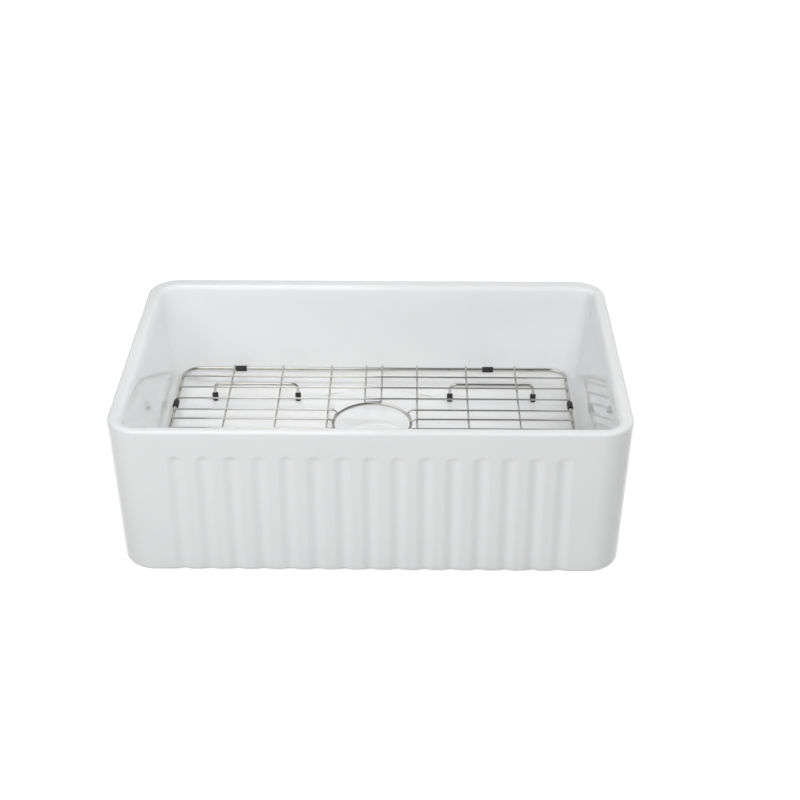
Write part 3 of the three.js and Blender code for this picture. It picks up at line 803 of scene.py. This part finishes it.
def make_floor():
    """White floor that glows for the camera, less beside the object, and keeps its shadow.

    Its paint is darker for the camera, so that glow and lamp light together come to white.
    """
    size = FLOOR_HALF
    corners = [(-size, -size, 0), (size, -size, 0), (size, size, 0), (-size, size, 0)]
    floor = make_mesh("studio_floor", corners, [(0, 1, 2, 3)])
    material = bpy.data.materials.new("studio_floor")
    material.use_nodes = True
    tree = material.node_tree
    tree.nodes.clear()
    paint = tree.nodes.new("ShaderNodeBsdfDiffuse")
    paths = tree.nodes.new("ShaderNodeLightPath")
    shade = add_range(tree, paths.outputs["Is Camera Ray"], FLOOR_PAINT, FLOOR_PAINT_SEEN)
    tree.links.new(shade, paint.inputs["Color"])
    place = tree.nodes.new("ShaderNodeTexCoord")
    reach = tree.nodes.new("ShaderNodeVectorMath")
    reach.operation = "LENGTH"
    tree.links.new(place.outputs["Object"], reach.inputs[0])
    level = add_range(tree, reach.outputs["Value"], *FLOOR_GLOW, *FLOOR_GLOW_REACH)
    strength = tree.nodes.new("ShaderNodeMath")
    strength.operation = "MULTIPLY"
    tree.links.new(level, strength.inputs[0])
    tree.links.new(add_seen_directly(tree), strength.inputs[1])
    glow = tree.nodes.new("ShaderNodeEmission")
    tree.links.new(strength.outputs[0], glow.inputs["Strength"])
    both = tree.nodes.new("ShaderNodeAddShader")
    out = tree.nodes.new("ShaderNodeOutputMaterial")
    tree.links.new(paint.outputs[0], both.inputs[0])
    tree.links.new(glow.outputs[0], both.inputs[1])
    tree.links.new(both.outputs[0], out.inputs["Surface"])
    floor.data.materials.append(material)


def make_panels(name, sheets, light):
    """Even glowing panels, not lamps, that show in shiny pieces only: painted reflections."""
    faces = [tuple(range(4 * k, 4 * k + 4)) for k in range(len(sheets))]
    panels = make_mesh(name, [p for sheet in sheets for p in sheet], faces)
    material = bpy.data.materials.new(name)
    material.use_nodes = True
    tree = material.node_tree
    tree.nodes.clear()
    glow = tree.nodes.new("ShaderNodeEmission")
    glow.inputs["Color"].default_value = (1, 1, 1, 1)
    glow.inputs["Strength"].default_value = light
    out = tree.nodes.new("ShaderNodeOutputMaterial")
    tree.links.new(glow.outputs[0], out.inputs["Surface"])
    panels.data.materials.append(material)
    panels.visible_camera = False
    panels.visible_diffuse = False
    panels.visible_transmission = False
    panels.visible_shadow = False


def make_painted_reflections():
    """Painted reflections: dark glowing panels like cloths round the sink's right half and behind it,
    and a bright one like a sheet over its left.
    """
    far = STUDIO_HALF
    top = CEILING_Z
    edge = FLAG_EDGE_X
    low = FLAG_LOW_Z
    right_front = [(edge, -far, low), (far, -far, low), (far, -far, top), (edge, -far, top)]
    ceiling = [(edge, -far, top), (far, -far, top), (far, far, top), (edge, far, top)]
    right = [(far, -far, 0), (far, far, 0), (far, far, top), (far, -far, top)]
    back = [(-far, far, 0), (far, far, 0), (far, far, top), (-far, far, top)]
    make_panels("painted_dark_reflection_flags", (right_front, ceiling, right, back), FLAG_LIGHT)
    left, right_end = SHEET_X
    near, behind = SHEET_Y
    sheet = [(left, near, top), (right_end, near, top), (right_end, behind, top), (left, behind, top)]
    make_panels("painted_bright_reflection_sheet", (sheet,), SHEET_LIGHT)


def make_world():
    """Soft light from all round; the camera and shiny pieces see it white."""
    world = bpy.data.worlds.new("studio")
    bpy.context.scene.world = world
    world.use_nodes = True
    tree = world.node_tree
    background = tree.nodes["Background"]
    background.inputs["Color"].default_value = (1, 1, 1, 1)
    strength = add_range(tree, add_seen_directly(tree), WORLD_LIGHT, 1.0)
    tree.links.new(strength, background.inputs["Strength"])


SINK_MIDDLE = (0, 0, HEIGHT / 2)


def add_lamp(name, place, size, power, aim=SINK_MIDDLE, spread=180):
    """Softbox that lights the object but isn't seen; a small spread makes it a beam."""
    data = bpy.data.lights.new(name, "AREA")
    data.shape = "RECTANGLE"
    data.size, data.size_y = size
    data.energy = power
    data.spread = math.radians(spread)
    lamp = bpy.data.objects.new(name, data)
    lamp.location = place
    lamp.rotation_euler = (Vector(aim) - Vector(place)).to_track_quat("-Z", "Y").to_euler()
    lamp.visible_camera = False
    lamp.visible_glossy = False
    bpy.context.scene.collection.objects.link(lamp)


make_floor()
make_painted_reflections()
make_world()
add_lamp("front_softbox", (-0.2, -2.2, 1.6), (1.6, 1.2), 24.5)
add_lamp("low_softbox", (-0.4, -2.5, 0.6), (1.4, 0.8), 3)
add_lamp("left_softbox", (-1.4, -1.9, 1.7), (1.6, 1.2), 15)
add_lamp("overhead_softbox", (0, 0, 2.5), (2.4, 2), 14)
add_lamp("right_softbox", (1.5, 0.2, 2.1), (1.2, 1.2), 19)
add_lamp("back_softbox", (0, 2, 1.8), (2, 1), 6)
add_lamp("low_back_softbox", (0.3, 2.4, 0.7), (1.8, 0.8), 12)
add_lamp("bowl_beam", (-0.14, 0.02, 1.5), (0.4, 0.22), 0.12, aim=(-0.14, 0.02, 0), spread=30)


# ---------------------------------------------------------------- camera
# Fitted to the photo. The angles are in degrees: round Z, then over X, then round the view.
CAMERA_PLACE = (58.8 * MM, -2109.8 * MM, 1384.3 * MM)
CAMERA_TURN = 0.48
CAMERA_TILT = 59.75
CAMERA_ROLL = 0.06
CAMERA_LENS = 69.24
CAMERA_SENSOR = 36
CAMERA_CLIP = (0.05, 50)


def make_camera():
    data = bpy.data.cameras.new("camera")
    data.sensor_width = CAMERA_SENSOR
    data.lens = CAMERA_LENS
    data.clip_start, data.clip_end = CAMERA_CLIP
    camera = bpy.data.objects.new("camera", data)
    camera.location = CAMERA_PLACE
    turn = Matrix.Rotation(math.radians(CAMERA_TURN), 3, "Z")
    tilt = Matrix.Rotation(math.radians(CAMERA_TILT), 3, "X")
    roll = Matrix.Rotation(math.radians(CAMERA_ROLL), 3, "Z")
    camera.rotation_euler = (turn @ tilt @ roll).to_euler()
    bpy.context.scene.collection.objects.link(camera)
    bpy.context.scene.camera = camera


make_camera()
bpy.context.scene.view_settings.view_transform = "Standard"
